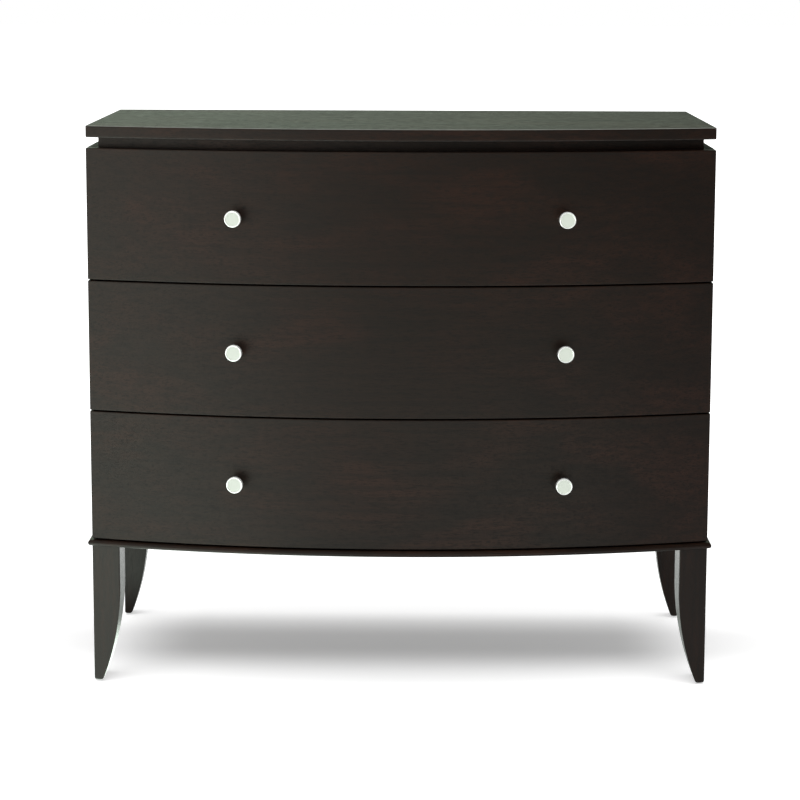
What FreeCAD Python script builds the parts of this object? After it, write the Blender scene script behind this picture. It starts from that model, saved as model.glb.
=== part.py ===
import FreeCAD, Part
import math
import os
from types import SimpleNamespace

import Sketcher

# A bow-front chest of three drawers on sabre legs, in millimetres.
# X runs across the chest, Y from its front to its back, Z up from the floor.

SIZES = {
    # Case: the outline that the top, the drawer fronts and the legs share
    "case_width": 1003.0,
    "case_depth": 498.0,
    "bow_radius": 1883.0,
    "panel_thickness": 19.0,
    "dado_depth": 6.0,
    "edge_ease": 1.0,
    # Top slab on its recessed neck frame
    "top_thickness": 19.0,
    "neck_height": 17.0,
    "neck_front_setback": 25.0,
    "neck_side_setback": 17.5,
    "neck_rail_width": 50.0,
    # Rails between the drawers, and the plywood back in its rabbets
    "divider_width": 70.0,
    "back_thickness": 6.4,
    "rabbet_width": 9.5,
    # Base board with its half-round nose
    "base_thickness": 9.5,
    "bead_overhang": 6.4,
    "bead_radius": 4.6,
    # Sabre legs and the round glides under them
    "leg_height": 227.5,
    "knee_height": 165.0,
    "front_leg_width": 46.0,
    "front_leg_depth": 55.0,
    "back_leg_width": 43.0,
    "back_leg_depth": 32.0,
    "front_foot_width": 14.0,
    "back_foot_width": 12.0,
    "glide_diameter": 9.0,
    "glide_height": 2.0,
    # Tenons that hold the legs
    "tenon_width": 16.0,
    "front_tenon_depth": 24.0,
    "back_tenon_depth": 16.0,
    "tenon_length": 22.0,
    "tenon_shoulder": 6.0,
    "tenon_clearance": 0.15,
    # Drawer fronts
    "front_height": 210.5,
    "front_thickness": 22.0,
    "front_gap": 2.5,
    "overlay_gap": 1.5,
    # Drawer boxes
    "box_lift": 22.0,
    "box_headroom": 7.5,
    "box_behind_slides": 9.8,
    "box_board": 12.7,
    "bottom_thickness": 6.4,
    "groove_depth": 6.0,
    "groove_lift": 12.0,
    "panel_clearance": 0.3,
    "tail_length": 9.0,
    "tail_neck_width": 6.0,
    "tail_end_width": 8.6,
    "pin_count": 6,
    "pin_wide": 11.0,
    "pin_narrow": 6.5,
    # Telescopic slides, three channels to a side
    "slide_setback": 6.0,
    "slide_back_space": 48.4,
    "slide_height": 45.0,
    "slide_width": 12.7,
    "slide_sheet": 1.2,
    "slide_play": 0.3,
    "slide_web_gap": 2.8,
    "slide_lip": 1.4,
    "slide_case_depth": 10.4,
    # Knobs
    "knob_spacing": 519.0,
    "knob_diameter": 26.5,
    "knob_projection": 25.0,
    "knob_rim_height": 7.0,
    "knob_rim_ease": 0.8,
    "knob_neck_diameter": 11.0,
    "knob_flare_height": 6.0,
    # Machine screws that hold the knobs
    "screw_play": 0.15,
    "knob_screw_diameter": 4.0,
    "knob_screw_depth": 12.0,
    "knob_screw_head": 8.0,
    "knob_screw_head_height": 2.2,
    # How far a cut runs past the face it opens
    "overrun": 5.0,
}

DRAWERS = ["bottom", "middle", "top"]
LEFT = -1
RIGHT = 1
HANDS = {"left": LEFT, "right": RIGHT}

doc = FreeCAD.newDocument("chest_of_drawers")
sheet = doc.addObject("Spreadsheet::Sheet", "Sizes")
for row, (name, value) in enumerate(SIZES.items(), start=1):
    sheet.set(f"A{row}", name)
    sheet.set(f"B{row}", str(value))
    sheet.setAlias(f"B{row}", name)
doc.recompute()


class Size:
    """A length: its value now, and the expression that keeps it tied to the sheet."""

    def __init__(self, value, text):
        self.value = value
        self.text = text

    @staticmethod
    def of(other):
        return other if isinstance(other, Size) else Size(other, str(other))

    def joined(self, value, sign, other):
        return Size(value, f"({self.text} {sign} {Size.of(other).text})")

    def __add__(self, other):
        return self.joined(self.value + Size.of(other).value, "+", other)

    def __sub__(self, other):
        return self.joined(self.value - Size.of(other).value, "-", other)

    def __mul__(self, other):
        return self.joined(self.value * Size.of(other).value, "*", other)

    def __truediv__(self, other):
        return self.joined(self.value / Size.of(other).value, "/", other)

    def __pow__(self, power):
        return self.joined(self.value**power, "^", power)

    def __neg__(self):
        return Size(-self.value, f"(-{self.text})")


def root(size):
    return Size(math.sqrt(size.value), f"sqrt({size.text})")


def larger(one, other):
    return Size(max(one.value, other.value), f"max({one.text}; {other.text})")


size = SimpleNamespace(**{name: Size(value, f"Sizes.{name}") for name, value in SIZES.items()})
nothing = Size(0, "0")
worked_out = doc.addObject("App::VarSet", "Derived")


def derived(name, value):
    """Keeps a worked-out size in the document under its own name."""
    worked_out.addProperty("App::PropertyFloat", name, "Derived")
    worked_out.setExpression(name, value.text)
    return Size(value.value, f"Derived.{name}")


# Sizes that several pieces share

half_case = derived("half_case", size.case_width / 2)
half_inside = derived("half_inside", half_case - size.panel_thickness)
bow_centre = derived("bow_centre", size.bow_radius - size.case_depth)
carcass_radius = derived(
    "carcass_radius", size.bow_radius - size.front_thickness - size.overlay_gap
)
front_back_radius = derived("front_back_radius", size.bow_radius - size.front_thickness)
case_floor = derived("case_floor", size.glide_height + size.leg_height + size.base_thickness)
front_pitch = derived("front_pitch", size.front_height + size.front_gap)
case_top = derived("case_top", case_floor + front_pitch * len(DRAWERS))
slab_bottom = derived("slab_bottom", case_top + size.neck_height)
half_box = derived("half_box", half_inside - size.slide_width)
box_top = derived("box_top", size.front_height - size.panel_thickness - size.box_headroom)
box_height = derived("box_height", box_top - size.box_lift)
knob_sine = derived("knob_sine", size.knob_spacing / size.bow_radius / 2)
knob_cosine = derived("knob_cosine", root(-(knob_sine**2) + 1))


def on_bow(radius, x):
    """Y of the point at x on the bow's arc of this radius."""
    return bow_centre - root(radius**2 - x**2)


knob_reach = derived(
    "knob_reach",
    size.knob_projection * knob_cosine
    + (size.knob_diameter / 2 - size.knob_rim_ease) * knob_sine
    - on_bow(size.bow_radius, size.knob_spacing / 2),
)
bead_reach = derived("bead_reach", size.case_depth + size.bead_overhang)
origin_to_back = derived("origin_to_back", larger(knob_reach, bead_reach) / 2)


def piece(label, level=None, many=False):
    """A body for one sub-part. Its own zero is at this level and at the chest's rear face, so
    its places have a negative Y, and its placement moves it to the chest's origin."""
    body = doc.addObject("PartDesign::Body", label)
    body.Label = label
    body.AllowCompound = many
    body.setExpression("Placement.Base.y", origin_to_back.text)
    if level is not None:
        body.setExpression("Placement.Base.z", level.text)
    return body


def sketch_on(body, plane, offset=None):
    """A sketch on one of the body's own origin planes, moved along the plane's normal."""
    sketch = body.newObject("Sketcher::SketchObject", f"{body.Name}_sketch")
    support = [item for item in body.Origin.OriginFeatures if item.Role == f"{plane}_Plane"]
    sketch.AttachmentSupport = (support[0], "")
    sketch.MapMode = "FlatFace"
    if offset is not None:
        sketch.setExpression("AttachmentOffset.Base.z", offset.text)
    return sketch


def bind(sketch, constraint, length):
    index = sketch.addConstraint(constraint)
    sketch.setExpression(f"Constraints[{index}]", length.text)


def pin_point(sketch, item, end, point):
    """Holds one point of the sketch at its x and y, each zero or a size."""
    x, y = point
    if x == 0:
        sketch.addConstraint(Sketcher.Constraint("PointOnObject", item, end, -2))
    else:
        bind(sketch, Sketcher.Constraint("DistanceX", -1, 1, item, end, x.value), x)
    if y == 0:
        sketch.addConstraint(Sketcher.Constraint("PointOnObject", item, end, -1))
    else:
        bind(sketch, Sketcher.Constraint("DistanceY", -1, 1, item, end, y.value), y)


def vector(point):
    return FreeCAD.Vector(Size.of(point[0]).value, Size.of(point[1]).value, 0)


def outline(sketch, corners, arcs=None):
    """Draws a closed outline. arcs gives, by corner number, the centre and radius of the arc
    that leaves that corner; every other side is straight."""
    arcs = arcs or {}
    ends = []
    for number, corner in enumerate(corners):
        start = vector(corner)
        finish = vector(corners[(number + 1) % len(corners)])
        if number not in arcs:
            item = sketch.addGeometry(Part.LineSegment(start, finish))
            ends.append((item, 1, 2))
            continue
        centre, radius = arcs[number]
        middle = vector(centre)
        circle = Part.Circle(middle, FreeCAD.Vector(0, 0, 1), radius.value)
        first = math.atan2(start.y - middle.y, start.x - middle.x)
        last = math.atan2(finish.y - middle.y, finish.x - middle.x)
        forward = (last - first) % (2 * math.pi) < math.pi
        span = (first, last) if forward else (last, first)
        item = sketch.addGeometry(Part.ArcOfCircle(circle, *span))
        bind(sketch, Sketcher.Constraint("Radius", item, radius.value), radius)
        ends.append((item, 1, 2) if forward else (item, 2, 1))
    for number, corner in enumerate(corners):
        item, start, _ = ends[number]
        before, _, finish = ends[number - 1]
        sketch.addConstraint(Sketcher.Constraint("Coincident", before, finish, item, start))
        pin_point(sketch, item, start, corner)


def circles(sketch, centres, diameter):
    for centre in centres:
        circle = Part.Circle(vector(centre), FreeCAD.Vector(0, 0, 1), diameter.value / 2)
        item = sketch.addGeometry(circle)
        pin_point(sketch, item, 3, centre)
        bind(sketch, Sketcher.Constraint("Diameter", item, diameter.value), diameter)


def pad(body, sketch, length, both_ways=False):
    feature = body.newObject("PartDesign::Pad", f"{body.Name}_pad")
    feature.Profile = sketch
    feature.SideType = "Symmetric" if both_ways else "One side"
    feature.setExpression("Length", length.text)
    sketch.Visibility = False
    return feature


def pocket(body, sketch, length=None, along_normal=False):
    """Cuts the sketch away: to a length on one side of it, or right through both ways."""
    feature = body.newObject("PartDesign::Pocket", f"{body.Name}_pocket")
    feature.Profile = sketch
    if length is None:
        feature.Type = "ThroughAll"
        feature.SideType = "Symmetric"
    else:
        feature.Reversed = along_normal
        feature.setExpression("Length", length.text)
    sketch.Visibility = False
    return feature


def edges_where(body, wanted):
    """Names of the body's edges whose bounding box passes the test."""
    doc.recompute()
    edges = enumerate(body.Tip.Shape.Edges, start=1)
    return [f"Edge{number}" for number, edge in edges if wanted(edge.BoundBox)]


def is_level(box):
    return box.ZLength < box.DiagonalLength / 2


def dress(body, kind, edges, setting, length):
    """Adds a chamfer or a fillet of this length to edges of the body's last feature."""
    base = body.Tip
    feature = body.newObject(f"PartDesign::{kind}", f"{body.Name}_{kind.lower()}")
    feature.Base = (base, edges)
    feature.setExpression(setting, length.text)
    return feature


def ease(body, edges, width):
    return dress(body, "Chamfer", edges, "Size", width)


def round_over(body, edges, radius):
    return dress(body, "Fillet", edges, "Radius", radius)


def bowed_plan(sketch, half_width, radius, rear):
    """A plan with straight sides and rear, and the chest's bow for its front."""
    front = on_bow(radius, half_width)
    corners = [(-half_width, front), (half_width, front), (half_width, rear), (-half_width, rear)]
    outline(sketch, corners, {0: ((0, bow_centre), radius)})


def rectangle(sketch, low, high):
    outline(sketch, [low, (high[0], low[1]), high, (low[0], high[1])])


def hole_size(screw_diameter):
    return screw_diameter + size.screw_play * 2


# Top slab: a solid board on a recessed frame of four rails

half_neck = derived("half_neck", half_case - size.neck_side_setback)
neck_radius = derived("neck_radius", size.bow_radius - size.neck_front_setback)
neck_rail_rear = derived("neck_rail_rear", on_bow(neck_radius, half_neck) + size.neck_rail_width)


def make_top():
    slab = piece("top_slab", slab_bottom)
    plan = sketch_on(slab, "XY")
    bowed_plan(plan, half_case, size.bow_radius, 0)
    pad(slab, plan, size.top_thickness)
    ease(slab, edges_where(slab, is_level), size.edge_ease)

    front = piece("neck_front_rail", case_top)
    plan = sketch_on(front, "XY")
    bowed_plan(plan, half_neck, neck_radius, neck_rail_rear)
    pad(front, plan, size.neck_height)

    back = piece("neck_back_rail", case_top)
    plan = sketch_on(back, "XY")
    rectangle(plan, (-half_neck, -size.neck_rail_width), (half_neck, 0))
    pad(back, plan, size.neck_height)

    for hand, way in HANDS.items():
        rail = piece(f"neck_{hand}_rail", case_top)
        plan = sketch_on(rail, "XY")
        inner = (half_neck - size.neck_rail_width) * way
        rectangle(plan, (inner, neck_rail_rear), (half_neck * way, -size.neck_rail_width))
        pad(rail, plan, size.neck_height)


# Case: two sides with dadoes for the panels and dividers, and a rabbet for the back

case_height = derived("case_height", case_top - case_floor)
half_panel = derived("half_panel", half_inside + size.dado_depth - size.panel_clearance)
divider_rear = derived("divider_rear", on_bow(carcass_radius, half_inside) + size.divider_width)


def divider_level(number):
    """Underside of the divider below this drawer, counted up from the case's floor."""
    return front_pitch * number + size.front_gap / 2 - size.panel_thickness / 2


def slide_centre(number):
    """Middle of this drawer's slides, counted up from the case's floor."""
    return size.front_gap + front_pitch * number + size.box_lift + box_height / 2


def dado(body, way, low, rear=None):
    """A slot for a panel's edge in a side panel: full depth, or from rear to the front."""
    slot = sketch_on(body, "XZ", None if rear is None else -rear)
    mouth = (half_inside - size.overrun) * way
    floor = (half_inside + size.dado_depth) * way
    rectangle(slot, (mouth, low), (floor, low + size.panel_thickness))
    if rear is None:
        pocket(body, slot)
    else:
        pocket(body, slot, size.divider_width + size.overrun, along_normal=True)


def make_side_panel(hand, way):
    panel = piece(f"{hand}_side_panel", case_floor)
    plan = sketch_on(panel, "XY")
    rabbet = half_inside + size.rabbet_width
    outline(
        plan,
        [
            (half_inside * way, on_bow(carcass_radius, half_inside)),
            (half_case * way, on_bow(carcass_radius, half_case)),
            (half_case * way, 0),
            (rabbet * way, 0),
            (rabbet * way, -size.back_thickness),
            (half_inside * way, -size.back_thickness),
        ],
        {0: ((0, bow_centre), carcass_radius)},
    )
    pad(panel, plan, case_height)
    dado(panel, way, nothing)
    dado(panel, way, case_height - size.panel_thickness)
    for number in range(1, len(DRAWERS)):
        dado(panel, way, divider_level(number), divider_rear)


def make_case():
    for hand, way in HANDS.items():
        make_side_panel(hand, way)

    top = piece("case_top_panel", case_top - size.panel_thickness)
    bottom = piece("case_bottom_panel", case_floor)
    for panel in (top, bottom):
        plan = sketch_on(panel, "XY")
        bowed_plan(plan, half_panel, carcass_radius, -size.back_thickness)
        pad(panel, plan, size.panel_thickness)
    blind_depth = size.tenon_length - size.base_thickness + size.tenon_clearance
    pocket(bottom, mortises(bottom), blind_depth, along_normal=True)

    for number, name in ((2, "upper"), (1, "lower")):
        divider = piece(f"{name}_divider_rail", case_floor + divider_level(number))
        plan = sketch_on(divider, "XY")
        bowed_plan(plan, half_panel, carcass_radius, divider_rear)
        pad(divider, plan, size.panel_thickness)

    back = piece("back_panel", case_floor)
    face = sketch_on(back, "XZ")
    half_back = half_inside + size.rabbet_width - size.panel_clearance
    rectangle(face, (-half_back, 0), (half_back, case_height))
    pad(back, face, size.back_thickness)


# Base: one board with a half-round nose, on four sabre legs tenoned up through it

leg_top = derived("leg_top", size.glide_height + size.leg_height)
front_leg_rear = derived(
    "front_leg_rear", on_bow(size.bow_radius, half_case) + size.front_leg_depth
)
tenon_places = {
    "front": (
        half_case - size.front_leg_width + size.tenon_shoulder,
        front_leg_rear - size.tenon_shoulder - size.front_tenon_depth,
    ),
    "back": (
        half_case - size.back_leg_width + size.tenon_shoulder,
        size.tenon_shoulder - size.back_leg_depth,
    ),
}
tenon_depths = {"front": size.front_tenon_depth, "back": size.back_tenon_depth}


def tenon_plan(sketch, end, way, play):
    """The outline of a leg's tenon, or of its mortise with this much play all round."""
    x, y = tenon_places[end]
    far_x = x + size.tenon_width + play
    far_y = y + tenon_depths[end] + play
    rectangle(sketch, ((x - play) * way, y - play), (far_x * way, far_y))


def mortises(body):
    """One sketch with the mortises of all four legs, on the body's underside."""
    plan = sketch_on(body, "XY")
    for end in tenon_places:
        for way in HANDS.values():
            tenon_plan(plan, end, way, size.tenon_clearance)
    return plan


def make_base():
    board = piece("base_board", leg_top)
    plan = sketch_on(board, "XY")
    bowed_plan(plan, half_case + size.bead_overhang, size.bow_radius + size.bead_overhang, 0)
    pad(board, plan, size.base_thickness)
    rear_strip = -size.panel_thickness.value
    nose = edges_where(board, lambda box: is_level(box) and box.Center.y < rear_strip)
    round_over(board, nose, size.bead_radius)
    pocket(board, mortises(board))


def sabre_profile(sketch, way, width, foot_width):
    """Front view of a leg: its outer edge straight, its inner edge curving in to the foot."""
    taper = width - foot_width
    radius = (taper**2 + size.knee_height**2) / taper / 2
    inner = half_case - width
    outline(
        sketch,
        [
            (half_case * way, 0),
            (half_case * way, size.leg_height),
            (inner * way, size.leg_height),
            (inner * way, size.knee_height),
            ((half_case - foot_width) * way, 0),
        ],
        {3: (((inner + radius) * way, size.knee_height), radius)},
    )


def add_tenon(leg, end, way):
    plan = sketch_on(leg, "XY", size.leg_height)
    tenon_plan(plan, end, way, nothing)
    pad(leg, plan, size.tenon_length)


def make_front_leg(hand, way):
    leg = piece(f"front_{hand}_leg", size.glide_height)
    profile = sketch_on(leg, "XZ", -front_leg_rear)
    sabre_profile(profile, way, size.front_leg_width, size.front_foot_width)
    inner = half_case - size.front_leg_width
    reach = front_leg_rear - on_bow(size.bow_radius, inner) + size.overrun
    pad(leg, profile, reach)
    ahead = sketch_on(leg, "XY")
    near = inner - size.overrun
    far = half_case + size.overrun
    limit = front_leg_rear - reach - size.overrun
    outline(
        ahead,
        [
            (near * way, on_bow(size.bow_radius, near)),
            (far * way, on_bow(size.bow_radius, far)),
            (far * way, limit),
            (near * way, limit),
        ],
        {0: ((0, bow_centre), size.bow_radius)},
    )
    pocket(leg, ahead)
    add_tenon(leg, "front", way)


def make_back_leg(hand, way):
    leg = piece(f"back_{hand}_leg", size.glide_height)
    profile = sketch_on(leg, "XZ")
    sabre_profile(profile, way, size.back_leg_width, size.back_foot_width)
    pad(leg, profile, size.back_leg_depth)
    add_tenon(leg, "back", way)


def make_legs():
    for hand, way in HANDS.items():
        make_front_leg(hand, way)
        make_back_leg(hand, way)

    glides = piece("foot_glides", many=True)
    front_middle = front_leg_rear - size.front_leg_depth / 2
    discs = sketch_on(glides, "XY")
    for way in HANDS.values():
        front_foot = ((half_case - size.front_foot_width / 2) * way, front_middle)
        back_foot = ((half_case - size.back_foot_width / 2) * way, -size.back_leg_depth / 2)
        circles(discs, [front_foot, back_foot], size.glide_diameter)
    pad(glides, discs, size.glide_height)


# Slides: three channels nested on each side, drawn as distances from the side's inner face

slide_front = derived("slide_front", on_bow(carcass_radius, half_inside) + size.slide_setback)
slide_rear = derived("slide_rear", -(size.back_thickness + size.slide_back_space))
case_channel_half = size.slide_height / 2
middle_channel_half = case_channel_half - size.slide_sheet - size.slide_play
drawer_hook_half = middle_channel_half - size.slide_sheet - size.slide_play
drawer_channel_half = drawer_hook_half - size.slide_lip
middle_channel_mouth = size.slide_case_depth - size.slide_sheet - size.slide_play
drawer_hook_mouth = middle_channel_mouth - size.slide_sheet - size.slide_play


def section(sketch, way, upper_half):
    """Draws a channel from its upper half, mirrored about the slide's centre line."""
    lower_half = [(depth, -z) for depth, z in reversed(upper_half)]
    outline(sketch, [((half_inside - depth) * way, z) for depth, z in upper_half + lower_half])


def lipped_channel(web, half_height, mouth):
    """A channel open towards the drawer, its lips turned in to hold the next one."""
    sheet_metal = size.slide_sheet
    lip = half_height - sheet_metal - size.slide_lip
    return [
        (web, half_height),
        (mouth, half_height),
        (mouth, lip),
        (mouth - sheet_metal, lip),
        (mouth - sheet_metal, half_height - sheet_metal),
        (web + sheet_metal, half_height - sheet_metal),
    ]


def hooked_channel():
    """The drawer's channel, open towards the case, its edges hooked behind the lips."""
    sheet_metal = size.slide_sheet
    hook = drawer_hook_mouth - sheet_metal
    return [
        (size.slide_width - sheet_metal, drawer_channel_half - sheet_metal),
        (hook, drawer_channel_half - sheet_metal),
        (hook, drawer_hook_half),
        (drawer_hook_mouth, drawer_hook_half),
        (drawer_hook_mouth, drawer_channel_half),
        (size.slide_width, drawer_channel_half),
    ]


def make_channels(label, level, upper_half):
    """The left and right channels of one kind for one drawer."""
    channels = piece(label, level, many=True)
    profile = sketch_on(channels, "XZ", -slide_rear)
    for way in HANDS.values():
        section(profile, way, upper_half)
    pad(channels, profile, slide_rear - slide_front)


def make_slides():
    case_section = lipped_channel(nothing, case_channel_half, size.slide_case_depth)
    middle_web = size.slide_sheet + size.slide_web_gap
    middle_section = lipped_channel(middle_web, middle_channel_half, middle_channel_mouth)
    for number, name in enumerate(DRAWERS):
        level = case_floor + slide_centre(number)
        make_channels(f"{name}_slide_case_channels", level, case_section)
        make_channels(f"{name}_slide_middle_channels", level, middle_section)
        make_channels(f"{name}_slide_drawer_channels", level, hooked_channel())


# Drawers: a bent front on a dovetailed box, drawn up from the front's lower edge

box_inside = derived("box_inside", half_box - size.box_board)
box_rear = slide_rear + size.box_behind_slides
box_back_face = box_rear - size.box_board
groove_low = size.box_lift + size.groove_lift
groove_width = size.bottom_thickness + size.panel_clearance
groove_half = box_inside + size.groove_depth
pin_pitch = box_height / (size.pin_count - 1)
tail_middle = half_box - size.box_board / 2
tail_shoulder = on_bow(front_back_radius, tail_middle)
front_end_middle = (on_bow(size.bow_radius, half_case) + on_bow(front_back_radius, half_case)) / 2


def tail_corners(way):
    """The tongue on a side's front end, from the drawer's inside round to its outside."""
    near = tail_middle - size.tail_neck_width / 2
    far = tail_middle + size.tail_neck_width / 2
    tip = tail_shoulder - size.tail_length
    return [
        (near * way, on_bow(front_back_radius, near)),
        ((tail_middle - size.tail_end_width / 2) * way, tip),
        ((tail_middle + size.tail_end_width / 2) * way, tip),
        (far * way, on_bow(front_back_radius, far)),
    ]


def knob_plane(body, way, radius, level):
    """A sketch plane square to a knob's axis, where the axis meets this radius of the bow."""
    sketch = sketch_on(body, "XZ")
    sketch.AttachmentOffset = FreeCAD.Placement(
        FreeCAD.Vector(), FreeCAD.Rotation(FreeCAD.Vector(0, way, 0), 1)
    )
    depth = radius * knob_cosine - bow_centre
    sketch.setExpression("AttachmentOffset.Base.x", (radius * knob_sine * way).text)
    sketch.setExpression("AttachmentOffset.Base.y", level.text)
    sketch.setExpression("AttachmentOffset.Base.z", depth.text)
    sketch.setExpression("AttachmentOffset.Rotation.Angle", f"asin({knob_sine.text})")
    return sketch


def make_front(name, level):
    front = piece(f"{name}_drawer_front", level)
    plan = sketch_on(front, "XY")
    outer = on_bow(size.bow_radius, half_case)
    inner = on_bow(front_back_radius, half_case)
    outline(
        plan,
        [(-half_case, outer), (half_case, outer), (half_case, inner), (-half_case, inner)],
        {0: ((0, bow_centre), size.bow_radius), 2: ((0, bow_centre), front_back_radius)},
    )
    pad(front, plan, size.front_height)
    end_middle = front_end_middle.value
    ease(front, edges_where(front, lambda box: box.YMax < end_middle), size.edge_ease)

    groove = sketch_on(front, "XY", groove_low)
    deep = front_back_radius + size.groove_depth
    shallow = front_back_radius - size.overrun
    outline(
        groove,
        [
            (-groove_half, on_bow(deep, groove_half)),
            (groove_half, on_bow(deep, groove_half)),
            (groove_half, on_bow(shallow, groove_half)),
            (-groove_half, on_bow(shallow, groove_half)),
        ],
        {0: ((0, bow_centre), deep), 2: ((0, bow_centre), shallow)},
    )
    pocket(front, groove, groove_width, along_normal=True)

    sockets = sketch_on(front, "XY")
    behind = tail_shoulder + size.overrun
    for way in HANDS.values():
        tail = tail_corners(way)
        outline(sockets, tail + [(tail[3][0], behind), (tail[0][0], behind)])
    pocket(front, sockets, box_top, along_normal=True)

    for way in HANDS.values():
        hole = knob_plane(front, way, size.bow_radius, size.front_height / 2)
        circles(hole, [(0, 0)], hole_size(size.knob_screw_diameter))
        pocket(front, hole)


def make_box_side(name, level, hand, way):
    side = piece(f"{name}_drawer_{hand}_side", level)
    plan = sketch_on(side, "XY", size.box_lift)
    bow = ((0, bow_centre), front_back_radius)
    outline(
        plan,
        [(box_inside * way, on_bow(front_back_radius, box_inside))]
        + tail_corners(way)
        + [
            (half_box * way, on_bow(front_back_radius, half_box)),
            (half_box * way, box_rear),
            (box_inside * way, box_rear),
        ],
        {0: bow, 4: bow},
    )
    pad(side, plan, box_height)

    groove = sketch_on(side, "XZ")
    rectangle(
        groove,
        ((box_inside - size.overrun) * way, groove_low),
        (groove_half * way, groove_low + groove_width),
    )
    pocket(side, groove)

    pin = sketch_on(side, "YZ")
    outline(
        pin,
        [
            (box_back_face, size.box_lift - size.pin_wide / 2),
            (box_rear, size.box_lift - size.pin_narrow / 2),
            (box_rear, size.box_lift + size.pin_narrow / 2),
            (box_back_face, size.box_lift + size.pin_wide / 2),
        ],
    )
    repeat_upwards(side, [pocket(side, pin)], box_height, size.pin_count)


def repeat_upwards(body, features, height, count):
    pattern = body.newObject("PartDesign::LinearPattern", f"{body.Name}_pattern")
    pattern.Originals = features
    axis = [item for item in body.Origin.OriginFeatures if item.Role == "Z_Axis"]
    pattern.Direction = (axis[0], [""])
    pattern.setExpression("Length", height.text)
    pattern.setExpression("Occurrences", count.text)
    body.Tip = pattern


def make_box_back(name, level):
    back = piece(f"{name}_drawer_back", level)
    plan = sketch_on(back, "XY", size.box_lift)
    rectangle(plan, (-half_box, box_back_face), (half_box, box_rear))
    pad(back, plan, box_height)

    groove = sketch_on(back, "YZ")
    rectangle(
        groove,
        (box_back_face - size.overrun, groove_low),
        (box_back_face + size.groove_depth, groove_low + groove_width),
    )
    pocket(back, groove)

    tails = []
    middle = size.box_lift + pin_pitch / 2
    narrow_half = (pin_pitch - size.pin_wide) / 2
    wide_half = (pin_pitch - size.pin_narrow) / 2
    for way in HANDS.values():
        tail = sketch_on(back, "YZ", box_inside * way)
        outline(
            tail,
            [
                (box_back_face, middle - narrow_half),
                (box_rear, middle - wide_half),
                (box_rear, middle + wide_half),
                (box_back_face, middle + narrow_half),
            ],
        )
        tails.append(pocket(back, tail, size.box_board, along_normal=way == RIGHT))
    repeat_upwards(back, tails, box_height - pin_pitch, size.pin_count - 1)


def make_box_bottom(name, level):
    bottom = piece(f"{name}_drawer_bottom", level)
    reach = size.groove_depth - size.panel_clearance
    plan = sketch_on(bottom, "XY", groove_low)
    bowed_plan(plan, box_inside + reach, front_back_radius + reach, box_back_face + reach)
    pad(bottom, plan, size.bottom_thickness)


def make_knobs(name, level):
    """A pair of turned knobs, each drawn beside its own axis, which stands square to the bow."""
    knobs = piece(f"{name}_drawer_knobs", level, many=True)
    bore = hole_size(size.knob_screw_diameter) / 2
    bore_end = -(size.knob_screw_depth + size.screw_play)
    neck = size.knob_neck_diameter / 2
    rim = size.knob_diameter / 2
    face = -size.knob_projection
    rim_back = face + size.knob_rim_height
    for way in HANDS.values():
        profile = sketch_on(knobs, "XY", size.front_height / 2)
        profile.AttachmentOffset = FreeCAD.Placement(
            FreeCAD.Vector(), FreeCAD.Rotation(FreeCAD.Vector(0, 0, way), 1)
        )
        surface = on_bow(size.bow_radius, size.knob_spacing / 2)
        profile.setExpression("AttachmentOffset.Base.x", (size.knob_spacing / 2 * way).text)
        profile.setExpression("AttachmentOffset.Base.y", surface.text)
        profile.setExpression("AttachmentOffset.Rotation.Angle", f"asin({knob_sine.text})")
        outline(
            profile,
            [
                (bore, 0),
                (neck, 0),
                (neck, rim_back + size.knob_flare_height),
                (rim, rim_back),
                (rim, face + size.knob_rim_ease),
                (rim - size.knob_rim_ease, face),
                (0, face),
                (0, bore_end),
                (bore, bore_end),
            ],
        )
        turned = knobs.newObject("PartDesign::Revolution", f"{knobs.Name}_turned")
        turned.Profile = profile
        turned.ReferenceAxis = (profile, ["V_Axis"])
        turned.Angle = 360
        profile.Visibility = False


def make_knob_screws(name, level):
    knob_screws = piece(f"{name}_drawer_knob_screws", level, many=True)
    for way in HANDS.values():
        shank = knob_plane(knob_screws, way, front_back_radius, size.front_height / 2)
        circles(shank, [(0, 0)], size.knob_screw_diameter)
        pad(knob_screws, shank, size.front_thickness + size.knob_screw_depth)
        head = knob_plane(knob_screws, way, front_back_radius, size.front_height / 2)
        circles(head, [(0, 0)], size.knob_screw_head)
        pad(knob_screws, head, size.knob_screw_head_height).Reversed = True


def make_drawers():
    for number, name in enumerate(DRAWERS):
        level = case_floor + size.front_gap + front_pitch * number
        make_front(name, level)
        for hand, way in HANDS.items():
            make_box_side(name, level, hand, way)
        make_box_back(name, level)
        make_box_bottom(name, level)
        make_knobs(name, level)
        make_knob_screws(name, level)


def write_pieces():
    """Checks every feature and body of the document, then writes one STEP file a body."""
    doc.recompute()
    os.makedirs("parts", exist_ok=True)
    for item in doc.Objects:
        if {"Invalid", "Error"} & set(item.State):
            raise RuntimeError(f"{item.Name} did not build: {item.State}")
    bodies = [item for item in doc.Objects if item.TypeId == "PartDesign::Body"]
    for body in bodies:
        if body.Shape.isNull() or not body.Shape.isValid():
            raise RuntimeError(f"{body.Label} has no valid shape")
        body.Shape.exportStep(os.path.join("parts", f"{body.Label}.step"))
    print(f"wrote {len(bodies)} pieces")


make_top()
make_case()
make_base()
make_legs()
make_slides()
make_drawers()
write_pieces()
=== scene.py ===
import math

import bmesh
import bpy
from mathutils import Matrix, Vector


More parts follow.
